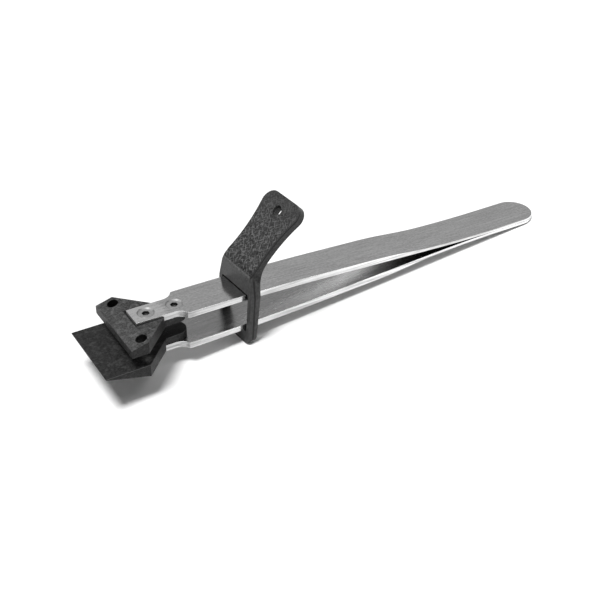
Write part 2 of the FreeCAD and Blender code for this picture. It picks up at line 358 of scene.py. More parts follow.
@dataclass(frozen=True)
class PolishedEdge:
    """Tumbled and polished strip edge: bright, with faint lengthwise drag lines and a painted
    brighter stretch along the length.
    """

    name: str = "polished_strip_edge"
    tone: float = 0.62
    roughness: float = 0.27
    painted_sheen_mm: tuple[float, float] = (36.0, 70.0)
    painted_sheen_gain: float = 0.0
    neck_mm: tuple[float, float] = (16.0, 13.0)
    neck_dullness: float = 0.3
    drag_mm: float = 0.22
    drag_contrast: float = 0.30
    drag_roughness: float = 0.10
    wave_mm: float = 1.2
    wave_contrast: float = 0.45
    wave_roughness: float = 0.08
    streak_mm: float = 0.50
    streak_contrast: float = 1.3
    relief_mm: float = 0.0012

    def make(self) -> bpy.types.Material:
        """Builds the material."""
        r = Recipe(self.name)
        drag = r.noise(self.drag_mm, 2.0, (12.0, 1.0, 1.0), shift=11.0)
        waves = r.noise(self.wave_mm, 2.0, (3.0, 1.0, 1.0), shift=5.0)
        streaks = r.noise(self.streak_mm, 1.0, (40.0, 1.0, 1.0), shift=13.0)
        along = r.along(BACK)
        # painted reflection: the sides are painted brighter over part of the length
        painted_lighting = along.step(*self.painted_sheen_mm) * self.painted_sheen_gain + 1.0
        uneven = (drag - 0.5) * self.drag_contrast + (waves - 0.5) * self.wave_contrast
        uneven = uneven + (streaks - 0.5) * self.streak_contrast
        tone = (uneven + 1.0) * painted_lighting * self.tone
        rough = (drag - 0.5) * self.drag_roughness + (waves - 0.5) * self.wave_roughness
        rough = rough + self.roughness + along.step(*self.neck_mm) * self.neck_dullness
        r.finish(r.grey(tone), rough, drag + waves, self.relief_mm, Metallic=1.0)
        return r.material


@dataclass(frozen=True)
class ScrewSteel:
    """Turned screw head: concentric tool marks; a much darker copy stands for the socket as painted
    shade.
    """

    name: str
    centre_x: float
    tone: float = 0.72
    roughness: float = 0.2
    rings_per_mm: float = 38.0 / math.tau
    ring_contrast: float = 0.06
    grime_mm: float = 0.3
    grime_contrast: float = 0.25
    grime_roughness: float = 0.2
    relief_mm: float = 0.002

    def make(self) -> bpy.types.Material:
        """Builds the material."""
        r = Recipe(self.name)
        x = r.along(BACK, BACK * self.centre_x)
        y = r.along(ACROSS)
        radius = (x * x + y * y).math("SQRT")
        rings = (radius * (self.rings_per_mm * math.tau)).math("SINE") * 0.5 + 0.5
        grime = r.noise(self.grime_mm, 2.0, shift=2.0) - 0.5
        tone = (rings - 0.5) * self.ring_contrast + grime * self.grime_contrast + self.tone
        rough = grime * self.grime_roughness + self.roughness
        r.finish(r.grey(tone), rough, rings, self.relief_mm, Metallic=1.0)
        return r.material


@dataclass(frozen=True)
class JawPlastic:
    """Filled black plastic of the jaws: matt, with pale flow clouds and fine pits; painted
    highlights on rounded edges, painted shade on upright faces, in the bores and round the tab.
    """

    name: str = "jaw_black_plastic"
    tone: float = 0.030
    roughness: float = 0.48
    specular: float = 0.20
    # painted highlight along rounded edges, and painted shade for the upright faces
    painted_edge_lighting: float = 2.4
    shaded_side_tone: float = 0.019
    darkest: float = 0.003
    bore_radius_mm: float = 1.4
    bore_x: float = -1.2 * MM
    bore_y_mm: float = 8.1
    bore_shade: float = 0.9
    tab_half_width_mm: float = 3.05
    tab_gap_mm: tuple[float, float] = (0.75, 0.35)
    tab_gap_shade: float = 0.95
    cloud_mm: float = 1.6
    cloud_gain: float = 0.8
    cloud_roughness: float = 0.3
    grain_mm: float = 0.45
    grain_contrast: float = 3.6
    grain_roughness: float = 0.2
    pit_mm: float = 0.7
    pit_depth: float = 0.3
    plain: float = 0.8
    relief_mm: float = 0.07

    def bore_shade_factor(self, r: Recipe) -> Sig:
        """1 on the moulding, nearly 0 on the upright walls of its two round holes, where shade is
        painted.
        """
        x = r.along(BACK, BACK * self.bore_x)
        y = r.along(ACROSS).math("ABSOLUTE") - self.bore_y_mm
        radius = (x * x + y * y).math("SQRT")
        inside = radius.step(self.bore_radius_mm + 0.06, self.bore_radius_mm - 0.04)
        wall = r.facing(UP).math("ABSOLUTE").step(0.8, 0.5)
        return 1.0 - inside * wall * self.bore_shade

    def tab_gap_shadow(self, r: Recipe) -> Sig:
        """1 in the thin painted shadow line round the strip's tab, on the faces that face up or
        down.
        """
        y = r.along(ACROSS).math("ABSOLUTE")
        away = (y - self.tab_half_width_mm).math("MAXIMUM", 0.0 - r.along(BACK))
        level = r.facing(UP).math("ABSOLUTE").step(0.8, 0.95)
        return away.step(*self.tab_gap_mm) * level

    def make(self) -> bpy.types.Material:
        """Builds the material."""
        r = Recipe(self.name)
        clouds = r.noise(self.cloud_mm, 4.0, shift=1.0, distortion=0.8, roughness=0.62)
        grain = r.noise(self.grain_mm, 3.0, shift=9.0, roughness=0.7)
        pits = r.cells(self.pit_mm, shift=4.0).step(0.30, 0.10)
        pale = clouds.step(0.47, 0.66) * self.cloud_gain
        uneven = pale + (grain - 0.5) * self.grain_contrast - pits * self.pit_depth + self.plain
        level = r.facing(UP).math("ABSOLUTE")
        # painted highlight on the rounded edges; upright faces painted darker as painted shade
        painted_edge_lighting = level.between(0.35, 0.90, 0.10) * self.painted_edge_lighting
        painted_side_shade_tone = level.step(0.60, 0.90) * (self.tone - self.shaded_side_tone) + self.shaded_side_tone
        # painted shade in the bores and a painted shadow in the gap round the tab
        shade = self.bore_shade_factor(r) * (1.0 - self.tab_gap_shadow(r) * self.tab_gap_shade)
        tone = ((uneven + painted_edge_lighting) * painted_side_shade_tone * shade).math("MAXIMUM", self.darkest)
        rough = (clouds - 0.5) * self.cloud_roughness + (grain - 0.5) * self.grain_roughness
        relief = grain * 0.8 + clouds * 0.7 - pits * 0.6
        gloss = {"Specular_IOR_Level": self.specular}
        r.finish(r.grey(tone), rough + self.roughness, relief, self.relief_mm, **gloss)
        return r.material


@dataclass(frozen=True)
class LockPlastic:
    """Moulded black lock: crossed strokes on the lever's front, a parting groove, painted highlights
    along the rims and painted shade in the groove, along the fold and on the window walls.
    """

    fold: Vector
    up_lever: Vector
    into_lever: Vector
    into_ring: Vector
    name: str = "lock_black_plastic"
    tone: float = 0.035
    roughness: float = 0.44
    specular: float = 0.28
    lever_groove_mm: tuple[float, float] = (0.38, 0.72)
    ring_groove_mm: tuple[float, float] = (0.95, 1.35)
    window_mm: tuple[float, float] = (5.8, 5.1)
    groove_shade: float = 0.9
    window_shade: float = 0.9
    stroke_mm: tuple[float, float] = (1.8, 0.48)
    stroke_contrast: float = 2.5
    stroke_share: float = 0.12
    stroke_gloss: float = 0.08
    grain_mm: float = 0.45
    grain_contrast: float = 2.6
    grain_roughness: float = 0.2
    cloud_mm: float = 2.6
    cloud_contrast: float = 0.9
    # painted highlight just inside the lever's rims
    painted_rim_highlight: float = 1.7
    fold_shade: float = 0.35
    ring_gain: float = 0.25
    relief_mm: float = 0.10
    darkest: float = 0.003

    def groove(self, r: Recipe, on_lever: Sig) -> Sig:
        """The thin parting groove along the sides, a fixed depth behind the front faces; its
        darkening is painted shade.
        """
        sideways = r.facing(ACROSS).math("ABSOLUTE").step(0.55, 0.80)
        lever = r.along(self.into_lever, self.fold).between(*self.lever_groove_mm, 0.08)
        ring = r.along(self.into_ring, self.fold).between(*self.ring_groove_mm, 0.08)
        return sideways * (lever * on_lever + ring * (1.0 - on_lever))

    def shaded_window_walls(self, r: Recipe) -> Sig:
        """1 on the walls inside the ring's window, where shade is painted."""
        soft = 0.1
        mask = r.facing(self.into_ring).math("ABSOLUTE").step(0.8, 0.5)
        for direction, half_mm in zip((ACROSS, UP), self.window_mm):
            away = r.along(direction, ACROSS * self.fold.y).math("ABSOLUTE")
            mask = mask * away.step(half_mm + soft, half_mm)
        return mask

    def scratches(self, r: Recipe) -> Sig:
        """Short pale strokes that cross on the lever's front, 1 on a stroke."""
        up = r.along(self.up_lever, self.fold)
        across = r.along(ACROSS, self.fold)
        rising, falling = up + across, up - across
        length, width = self.stroke_mm
        strokes = []
        for lengthwise, crosswise in ((rising, falling), (falling, rising)):
            sockets = {"X": lengthwise / length, "Y": crosswise / width, "Z": float(len(strokes))}
            place = r.node("ShaderNodeCombineXYZ", {}, sockets)
            sockets = {"Vector": place, "Scale": 1.0, "Detail": 1.0}
            strokes.append(r.node("ShaderNodeTexNoise", {}, sockets).step(0.52, 0.68))
        front = r.facing(self.into_lever).step(-0.80, -0.95)
        return strokes[0].math("MAXIMUM", strokes[1]) * front

    def make(self) -> bpy.types.Material:
        """Builds the material."""
        r = Recipe(self.name)
        height = r.along(self.up_lever, self.fold)
        on_lever = height.step(-0.3, 0.3)
        grainy = height.step(-0.5, 1.5) * height.step(22.0, 8.0)
        strokes = self.scratches(r)
        grain = r.noise(self.grain_mm, 3.0, shift=8.0, roughness=0.65) - 0.5
        cloud = r.noise(self.cloud_mm, 3.0, shift=2.0) - 0.5
        lively = grainy * 0.85 + 0.15
        turned = r.facing(self.into_lever)
        # painted highlight just inside the lever's rims, with a painted dark band further round the
        # edge
        rim = turned.between(-0.96, -0.74, 0.03) * self.painted_rim_highlight
        painted_edge_lighting = (rim - turned.between(-0.66, -0.30, 0.06)) * on_lever
        # painted shade along the fold
        painted_fold_shade = height.between(0.4, 1.3, 0.4) * self.fold_shade
        groove = self.groove(r, on_lever)
        uneven = (strokes - self.stroke_share) * lively * self.stroke_contrast
        uneven = uneven + grain * self.grain_contrast + cloud * self.cloud_contrast
        # painted shade in the parting groove and on the window walls
        shade = 1.0 - groove * self.groove_shade
        shade = shade * (1.0 - self.shaded_window_walls(r) * self.window_shade)
        part = (1.0 + self.ring_gain) - on_lever * self.ring_gain
        tone = (uneven + 1.0 + painted_edge_lighting - painted_fold_shade) * part * shade * self.tone
        rough = grain * self.grain_roughness - strokes * lively * self.stroke_gloss
        relief = strokes * lively + grain * 0.4 - groove * 2.0
        gloss = {"Specular_IOR_Level": self.specular}
        base = r.grey(tone.math("MAXIMUM", self.darkest))
        r.finish(base, rough + self.roughness, relief, self.relief_mm, **gloss)
        return r.material


@dataclass(frozen=True)
class FloorPaint:
    """Plain pale floor."""

    name: str = "pale_floor"
    tone: float = 0.86

    def make(self) -> bpy.types.Material:
        """Builds the material."""
        r = Recipe(self.name)
        shader = r.node(
            "ShaderNodeBsdfPrincipled",
            {},
            {"Base Color": (self.tone, self.tone, self.tone, 1.0), "Roughness": 0.9},
        )
        r.node_output(shader)
        return r.material


# ------------------------------------------------------------------------------------ mesh kit


@dataclass(frozen=True)
class ToolFrame:
    """Where the tool's own frame lies at rest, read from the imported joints."""

    origin: Vector
    along: Vector

    @classmethod
    def from_joints(cls, joints: list, pivot_x: float) -> "ToolFrame":
        """Finds the frame.

        Args:
            joints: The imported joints.
            pivot_x: Where the strips' hinge stands along the tool.

        Returns:
            The frame.
        """
        by_name = {joint["name"]: joint for joint in joints}
        along = Vector(by_name["lock_slide"]["axis"]).normalized()
        pivot = Vector(by_name["arm_flex"]["pos_m"])
        return cls(pivot - along * pivot_x, along)

    def matrix(self) -> Matrix:
        """Turns tool coordinates into the row's coordinates."""
        turn = Matrix((self.along, ACROSS, self.along.cross(ACROSS))).transposed()
        return Matrix.Translation(self.origin) @ turn.to_4x4()

    def point(self, x: float, y: float, z: float) -> Vector:
        """A point of the tool in the row's coordinates."""
        return self.matrix() @ Vector((x, y, z))


def sharp_edges(bm: bmesh.types.BMesh, degrees: float) -> list:
    """The edges where two faces meet at more than that angle."""
    limit = math.radians(degrees)
    return [e for e in bm.edges if e.is_manifold and e.calc_face_angle(0.0) > limit]


def round_off(bm: bmesh.types.BMesh, edges: Iterable, radius: float, segments: int) -> dict:
    """Rounds edges.

    Args:
        bm: The mesh.
        edges: The edges to round.
        radius: The width of the rounding.
        segments: Faces across it.

    Returns:
        What the bevel operator returns.
    """
    return bmesh.ops.bevel(
        bm,
        geom=list(edges),
        offset=radius,
        offset_type="OFFSET",
        segments=segments,
        profile=0.5,
        affect="EDGES",
        clamp_overlap=True,
        material=-1,
    )


def tidy_surface(bm: bmesh.types.BMesh, angle_degrees: float) -> None:
    """Merges doubles and joins faces that lie in one plane."""
    bmesh.ops.remove_doubles(bm, verts=bm.verts, dist=TIGHT)
    bmesh.ops.dissolve_limit(
        bm,
        angle_limit=math.radians(angle_degrees),
        verts=bm.verts,
        edges=bm.edges,
        use_dissolve_boundaries=False,
        delimit={"NORMAL"},
    )
    bmesh.ops.recalc_face_normals(bm, faces=bm.faces)


def to_object(
    bm: bmesh.types.BMesh,
    name: str,
    tool: ToolFrame,
    materials: Iterable[bpy.types.Material],
    smooth_degrees: float = 32.0,
) -> bpy.types.Object:
    """Makes the finished object from a mesh in the tool's frame.

    Args:
        bm: The mesh, which is freed.
        name: The piece's name.
        tool: The tool's frame.
        materials: Its materials, in slot order.
        smooth_degrees: Edges sharper than this stay sharp.

    Returns:
        The object, at the origin, with its place in its mesh.
    """
    bmesh.ops.remove_doubles(bm, verts=bm.verts, dist=TIGHT)
    bmesh.ops.dissolve_degenerate(bm, dist=TIGHT / 10, edges=bm.edges)
    mesh = bpy.data.meshes.new(name)
    bm.to_mesh(mesh)
    bm.free()
    place = mesh.attributes.new(PIECE_XYZ, "FLOAT_VECTOR", "POINT")
    place.data.foreach_set("vector", [c for v in mesh.vertices for c in v.co])
    mesh.transform(tool.matrix())
    for material in materials:
        mesh.materials.append(material)
    mesh.shade_smooth()
    mesh.set_sharp_from_angle(angle=math.radians(smooth_degrees))
    made = bpy.data.objects.new(name, mesh)
    bpy.context.scene.collection.objects.link(made)
    weigh = made.modifiers.new("even_normals", "WEIGHTED_NORMAL")
    weigh.keep_sharp = True
    weigh.weight = LARGE_FACES_FIRST
    return made


def cut_away(bm: bmesh.types.BMesh, cutters: Iterable[bmesh.types.BMesh]) -> bmesh.types.BMesh:
    """Takes closed cutters out of a closed mesh.

    Args:
        bm: The mesh, which is freed.
        cutters: The meshes to take away, which are freed too.

    Returns:
        The cut mesh.
    """
    def holder(source: bmesh.types.BMesh, name: str) -> bpy.types.Object:
        """Puts a mesh on a throw-away object."""
        mesh = bpy.data.meshes.new(name)
        source.to_mesh(mesh)
        source.free()
        made = bpy.data.objects.new(name, mesh)
        bpy.context.scene.collection.objects.link(made)
        return made

    body = holder(bm, "cut_body")
    tools = [holder(cutter, "cutter") for cutter in cutters]
    for tool in tools:
        cut = body.modifiers.new("cut", "BOOLEAN")
        cut.operation = "DIFFERENCE"
        cut.solver = "EXACT"
        cut.object = tool
    ready = body.evaluated_get(bpy.context.evaluated_depsgraph_get())
    result = bmesh.new()
    result.from_mesh(ready.to_mesh())
    ready.to_mesh_clear()
    for made in (body, *tools):
        mesh = made.data
        bpy.data.objects.remove(made)
        bpy.data.meshes.remove(mesh)
    return result


def spun(profile: list[tuple[float, float]], centre_x: float) -> bmesh.types.BMesh:
    """A turned solid about an upright axis.

    Args:
        profile: Radius and height of each point, from the axis to the axis.
        centre_x: Where the axis stands along the tool.

    Returns:
        The closed mesh.
    """
    bm = bmesh.new()
    points = [bm.verts.new((centre_x + radius, 0, height)) for radius, height in profile]
    edges = [bm.edges.new(pair) for pair in zip(points, points[1:])]
    bmesh.ops.spin(
        bm,
        geom=points + edges,
        cent=(centre_x, 0, 0),
        axis=(0, 0, 1),
        angle=math.tau,
        steps=ROUND_STEPS,
        use_merge=True,
    )
    bmesh.ops.remove_doubles(bm, verts=bm.verts, dist=TIGHT)
    bmesh.ops.recalc_face_normals(bm, faces=bm.faces)
    return bm


def flip_to_lower(bm: bmesh.types.BMesh) -> None:
    """Turns an upper piece into its twin below the mid-plane."""
    bmesh.ops.scale(bm, vec=(1, 1, -1), verts=bm.verts)
    bmesh.ops.reverse_faces(bm, faces=bm.faces)


class Half(Enum):
    """The two halves of the tool."""

    UPPER = "upper"
    LOWER = "lower"

    @property
    def body(self) -> str:
        """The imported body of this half."""
        return f"{self.value}_arm"


# ------------------------------------------------------------------------------------ strips


@dataclass
class SpringStrip:
    """One ground spring strip with its tab, hollow neck, shoulders, round heel and screw holes."""

    half: Half
    tool: ToolFrame
    length: float = 119.2 * MM
    width: float = 10.0 * MM
    heel_radius: float = 5.3 * MM
    thick_at: tuple = ((0, 1.67), (20, 1.52), (66, 1.50), (84, 0.72), (119.2, 0.66))
    ground_thin: tuple[int, int] = (66, 84)
    half_gap: float = 3.55 * MM
    flat_end: float = 12.0 * MM
    bow_end: float = 50.0 * MM
    heel_bow_start: float = 84.0 * MM
    weld_front: float = 106.0 * MM
    weld_line: float = 0.03 * MM
    tab_width: float = 6.1 * MM
    tab_straight: float = 9.3 * MM
    neck_radius: float = 3.0 * MM
    shoulder_round: float = 1.0 * MM
    edge_round: float = 0.28 * MM
    hole_radius: float = 1.1 * MM
    sink_radius: float = 2.12 * MM
    screw_x: tuple[float, float] = (3.6 * MM, 10.8 * MM)
    sink_soft: float = 0.08 * MM
    neck_steps: int = 14
    heel_steps: int = 24
    station_step: float = 1.5 * MM
    rim_degrees: float = 60.0
    flat_face: float = 0.93
    upright_face: float = 0.25
    bend_from: float = PIVOT_X
    bend_to: float = 45.0 * MM

    def slope(self) -> float:
        """Slope of the straight stretch between the two bows."""
        front = (self.bow_end - self.flat_end) / 2
        heel = (self.weld_front - self.heel_bow_start) / 2
        run = front + (self.heel_bow_start - self.bow_end) + heel
        return (self.half_gap - self.weld_line / 2) / run

    def inner(self, x: float) -> float:
        """Height of the inner face at x."""
        slope = self.slope()
        front_bow = self.bow_end - self.flat_end
        if x <= self.flat_end:
            return self.half_gap
        if x <= self.bow_end:
            return self.half_gap - slope * (x - self.flat_end) ** 2 / (2 * front_bow)
        if x <= self.heel_bow_start:
            return self.half_gap - slope * (front_bow / 2 + x - self.bow_end)
        heel_bow = self.weld_front - self.heel_bow_start
        back = max(0.0, self.weld_front - x)
        return self.weld_line / 2 + slope * back ** 2 / (2 * heel_bow)

    def thickness(self, x: float) -> float:
        """Thickness at x: thick to begin with, then an easy S down to the thin springy part."""
        at = min(x / MM, self.thick_at[-1][0])
        pairs = zip(self.thick_at, self.thick_at[1:])
        (front, t_front), (back, t_back) = next(pair for pair in pairs if at <= pair[1][0])
        share = (at - front) / (back - front)
        if (front, back) == self.ground_thin:
            share = share ** 2 * (3 - 2 * share)
        return (t_front + (t_back - t_front) * share) * MM

    def outer(self, x: float) -> float:
        """Height of the outer face at x."""
        return self.inner(x) + self.thickness(x)

    def plan(self) -> bmesh.types.BMesh:
        """The flat outline as one face: half of it is drawn, then mirrored."""
        bm = bmesh.new()
        tab = self.tab_width / 2
        side = self.width / 2
        heel_x = self.length - self.heel_radius
        nose = [bm.verts.new(p) for p in ((0, 0, 0), (0, tab, 0), (self.tab_straight, tab, 0))]
        for pair in zip(nose, nose[1:]):
            bm.edges.new(pair)
        sweep = math.acos((self.neck_radius - (side - tab)) / self.neck_radius)
        neck = bmesh.ops.spin(
            bm,
            geom=[nose[-1]],
            cent=(self.tab_straight, tab + self.neck_radius, 0),
            axis=(0, 0, 1),
            angle=sweep,
            steps=self.neck_steps,
        )
        shoulder = next(v for v in neck["geom_last"] if isinstance(v, bmesh.types.BMVert))
        corner = bmesh.ops.extrude_vert_indiv(bm, verts=[shoulder])["verts"][0]
        corner.co = (heel_x, self.heel_radius, 0)
        bmesh.ops.spin(
            bm,
            geom=[corner],
            cent=(heel_x, 0, 0),
            axis=(0, 0, 1),
            angle=-math.pi / 2,
            steps=self.heel_steps,
        )
        bmesh.ops.bevel(
            bm,
            geom=[shoulder],
            offset=self.shoulder_round,
            segments=4,
            profile=0.5,
            affect="VERTICES",
            material=-1,
        )
        bmesh.ops.mirror(bm, geom=bm.verts[:] + bm.edges[:], axis="Y", merge_dist=TIGHT)
        bmesh.ops.remove_doubles(bm, verts=bm.verts, dist=TIGHT)
        bmesh.ops.edgeloop_fill(bm, edges=bm.edges)
        return bm

    def bent(self) -> bmesh.types.BMesh:
        """The strip without its holes: cut into stations, given its thickness and bent."""
        bm = self.plan()
        stations = int(self.length / self.station_step)
        for k in range(1, stations + 1):
            bmesh.ops.bisect_plane(
                bm,
                geom=bm.verts[:] + bm.edges[:] + bm.faces[:],
                plane_co=(k * self.length / (stations + 0.5), 0, 0),
                plane_no=(1, 0, 0),
                dist=TIGHT,
            )
        low = set(bm.verts)
        bmesh.ops.recalc_face_normals(bm, faces=bm.faces)
        bmesh.ops.extrude_face_region(bm, geom=bm.faces[:])
        for vert in bm.verts:
            x = vert.co.x
            vert.co.z = self.inner(x) if vert in low else self.outer(x)
        bmesh.ops.recalc_face_normals(bm, faces=bm.faces)
        sharp = sharp_edges(bm, self.rim_degrees)
        rim = [e for e in sharp if abs(sum(f.normal.z for f in e.link_faces)) > 0.5]
        round_off(bm, rim, self.edge_round, 3)
        return bm

    def sink_cutter(self, x: float) -> bmesh.types.BMesh:
        """The cutter of one countersunk hole, its rim slightly rounded."""
        top = self.outer(x)
        soft = self.sink_soft
        depth = self.sink_radius - self.hole_radius
        over = 1.0 * MM
        profile = [
            (0, self.inner(x) - over),
            (self.hole_radius, self.inner(x) - over),
            (self.hole_radius, top - depth),
            (self.sink_radius - soft, top - soft),
            (self.sink_radius - soft * 0.2, top - soft * 0.25),
            (self.sink_radius + soft, top),
            (self.sink_radius + soft + over, top + 0.05 * over),
            (self.sink_radius + soft + over, top + over),
            (0, top + over),
        ]
        return spun(profile, x)

    def finish_of(self, face: bmesh.types.BMFace) -> int:
        """Which of the five finishes a face has: outer, inner, side, arris or countersink."""
        if abs(face.normal.z) > self.flat_face:
            return 0 if face.normal.z > 0 else 1
        if abs(face.normal.z) < self.upright_face:
            return 2
        middle = face.calc_center_median()
        reach = min(math.hypot(middle.x - x, middle.y) for x in self.screw_x)
        return 3 if reach > self.sink_radius * 1.1 else 4

    def build(self, finishes: list[bpy.types.Material]) -> bpy.types.Object:
        """Shapes, dresses and places the strip.

        Args:
            finishes: Those of the outer face, inner face, sides, arrises and countersinks.

        Returns:
            The finished piece.
        """
        bm = cut_away(self.bent(), [self.sink_cutter(x) for x in self.screw_x])
        for face in bm.faces:
            face.material_index = self.finish_of(face)
        if self.half is Half.LOWER:
            flip_to_lower(bm)
        name = f"{self.half.value}_spring_strip"
        piece = to_object(bm, name, self.tool, finishes)
        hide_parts(f"{self.half.value}_arm")
        if self.half is Half.UPPER:
            start = self.tool.point(self.bend_from, 0, 0)
            end = self.tool.point(self.bend_to, 0, 0)
            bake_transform(piece)
        else:
            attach(piece, "lower_arm")
        log.info("%s: %d faces", name, len(piece.data.polygons))
        return piece


# ------------------------------------------------------------------------------------ screws


@dataclass
class CountersunkScrew:
    """One small countersunk screw with a hexagon socket."""

    half: Half
    place: str
    strip: SpringStrip
    x: float
    shank_radius: float = 0.98 * MM
    head_radius: float = 1.9 * MM
    head_height: float = 0.92 * MM
    length: float = 3.0 * MM
    sunk: float = 0.2 * MM
    rim_soft: float = 0.13 * MM
    tip_chamfer: float = 0.2 * MM
    socket_across: float = 1.3 * MM
    socket_depth: float = 0.6 * MM
    socket_tip: float = 0.22 * MM
    socket_flare: float = 1.6

    def turned(self) -> bmesh.types.BMesh:
        """Head and shank as one turned solid, with a soft rim and a pointed shank end."""
        top = self.strip.outer(self.x) - self.sunk
        soft = self.rim_soft
        chamfer = self.tip_chamfer
        profile = [
            (0, top),
            (self.head_radius - 2.2 * soft, top),
            (self.head_radius - soft, top - 0.22 * soft),
            (self.head_radius - 0.3 * soft, top - 0.7 * soft),
            (self.head_radius, top - 1.4 * soft),
            (self.shank_radius, top - self.head_height),
            (self.shank_radius, top - self.length + chamfer),
            (self.shank_radius - chamfer, top - self.length),
            (0, top - self.length),
        ]
        return spun(profile, self.x)

    def socket_cutter(self) -> bmesh.types.BMesh:
        """The hexagon socket with a flared mouth and a conical floor."""
        top = self.strip.outer(self.x) - self.sunk
        corner = self.socket_across / math.sqrt(3)
        bm = bmesh.new()
        bmesh.ops.create_cone(
            bm,
            cap_ends=True,
            segments=6,
            radius1=corner,
            radius2=corner * self.socket_flare,
            depth=self.socket_depth * 2,
            matrix=Matrix.Translation((self.x, 0, top)),
        )
        floor = min(bm.faces, key=lambda f: f.calc_center_median().z)
        tip = bmesh.ops.poke(bm, faces=[floor])["verts"][0]
        tip.co.z -= self.socket_tip
        bmesh.ops.recalc_face_normals(bm, faces=bm.faces)
        return bm

    def build(self, steel: bpy.types.Material, socket: bpy.types.Material) -> bpy.types.Object:
        """Shapes, dresses and places the screw."""
        bm = cut_away(self.turned(), [self.socket_cutter()])
        top = self.strip.outer(self.x) - self.sunk
        reach = self.socket_across * 0.78
        mouth, floor = top - 0.02 * MM, top - self.socket_depth - 0.3 * MM
        for face in bm.faces:
            middle = face.calc_center_median()
            near = math.hypot(middle.x - self.x, middle.y) < reach
            inside = near and floor < middle.z < mouth
            # socket faces take the dark socket finish: painted shade in the recess
            face.material_index = 1 if inside else 0
        if self.half is Half.LOWER:
            flip_to_lower(bm)
        name = f"{self.half.value}_countersunk_screw_{self.place}"
        piece = to_object(bm, name, self.strip.tool, (steel, socket))
        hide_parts(f"{self.half.value}_jaw_screw_{self.place}")
        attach(piece, self.half.body)
        log.info("%s: %d faces", name, len(piece.data.polygons))
        return piece


# ------------------------------------------------------------------------------------ mouldings


@dataclass
class Moulding:
    """A moulded piece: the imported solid, merged, with its edges rounded as a mould leaves them."""

    node: str
    name: str
    body: str
    slot: str
    tool: ToolFrame
    sharp_degrees: float = 28.0
    flat_degrees: float = 0.3
    rounds: list[tuple[Callable[[bmesh.types.BMEdge], bool], float, int]] = field(
        default_factory=list
    )

    def merged(self) -> bmesh.types.BMesh:
        """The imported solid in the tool's frame, its loose triangles joined."""
        bm = bmesh.new()
        bm.from_mesh(frame["nodes"][self.node].data)
        bmesh.ops.transform(bm, matrix=self.tool.matrix().inverted(), verts=bm.verts)
        tidy_surface(bm, self.flat_degrees)
        return bm

    def build(self, material: bpy.types.Material) -> bpy.types.Object:
        """Rounds, dresses and places the moulding.

        Args:
            material: Its finish.

        Returns:
            The finished piece.
        """
        bm = self.merged()
        for chosen, radius, segments in self.rounds:
            edges = [e for e in sharp_edges(bm, self.sharp_degrees) if chosen(e)]
            round_off(bm, edges, radius, segments)
        bmesh.ops.triangulate(bm, faces=[f for f in bm.faces if len(f.verts) > 4])
        piece = to_object(bm, self.name, self.tool, (material,))
        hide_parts(self.node)
        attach(piece, self.body)
        log.info("%s: %d faces", self.name, len(piece.data.polygons))
        return piece


@dataclass(frozen=True)
class JawPair:
    """The two screwed-on jaws."""

    tool: ToolFrame
    lip_x: float = -10.9 * MM
    round_radius: float = 0.16 * MM
    upper_tone: float = 0.047
    shaded_lower_tone: float = 0.021

    def at_lip(self, edge: bmesh.types.BMEdge) -> bool:
        """True for the edges of the thin front lip."""
        return all(v.co.x < self.lip_x for v in edge.verts)

    def build(self) -> list[bpy.types.Object]:
        """Builds both jaws; the lower one is painted darker all over, as painted shade from the
        upper jaw on its gripping face.
        """
        made = []
        for half in Half:
            # the lower jaw's darker tone is painted shade
            tone = self.upper_tone if half is Half.UPPER else self.shaded_lower_tone
            material = JawPlastic(f"{half.value}_jaw_black_plastic", tone).make()
            node, name = f"{half.value}_jaw", f"{half.value}_flat_jaw"
            jaw = Moulding(node, name, half.body, "jaw_plastic", self.tool)
            jaw.rounds = [(lambda e: not self.at_lip(e), self.round_radius, 3)]
            made.append(jaw.build(material))
        return made


@dataclass(frozen=True)
class SlideLock:
    """The one-piece ring and thumb lever."""

    tool: ToolFrame
    fold: Vector = Vector((27.35 * MM, 0.1 * MM, 10.15 * MM))
    lean: float = math.radians(46.0)
    yaw: float = math.radians(3.4)
    toe: Vector = Vector((-1.3 * MM, 0, -18.55 * MM))
    round_radius: float = 0.38 * MM
    window_radius: float = 0.22 * MM
    window_half_width: float = 5.95 * MM
    window_half_height: float = 5.25 * MM

    def finish(self) -> LockPlastic:
        """The finish, told which way the lever and the ring lie."""
        askew = Matrix.Rotation(self.yaw, 3, "Z")
        up = Vector((math.sin(self.lean), 0, math.cos(self.lean)))
        into_lever = Vector((up.z, 0, -up.x))
        into_ring = Vector((-self.toe.z, 0, self.toe.x)).normalized()
        return LockPlastic(self.fold, askew @ up, askew @ into_lever, askew @ into_ring)

    def at_window(self, edge: bmesh.types.BMEdge) -> bool:
        """True for the edges round the window."""
        return all(
            abs(v.co.y - self.fold.y) < self.window_half_width
            and abs(v.co.z) < self.window_half_height
            for v in edge.verts
        )

    def build(self, material: bpy.types.Material) -> bpy.types.Object:
        """Builds the lock."""
        node, name = "slide_lock", "slide_lock_and_lever"
        lock = Moulding(node, name, "slide_lock", "lock_plastic", self.tool)
        lock.rounds = [
            (lambda e: not self.at_window(e), self.round_radius, 4),
            (self.at_window, self.window_radius, 2),
        ]
        return lock.build(material)


# ------------------------------------------------------------------------------------ stage


@dataclass(frozen=True)
class SoftBox:
    """One large soft light."""

    name: str
    place: tuple[float, float, float]
    size: float
    power: float

    def build(self, aim: Vector) -> None:
        """Hangs the light, turned towards aim."""
        data = bpy.data.lights.new(self.name, "AREA")
        data.shape = "DISK"
        data.size = self.size
        data.energy = self.power
        made = bpy.data.objects.new(self.name, data)
        made.location = self.place
        made.rotation_euler = (aim - Vector(self.place)).to_track_quat("-Z", "Y").to_euler()
        bpy.context.scene.collection.objects.link(made)


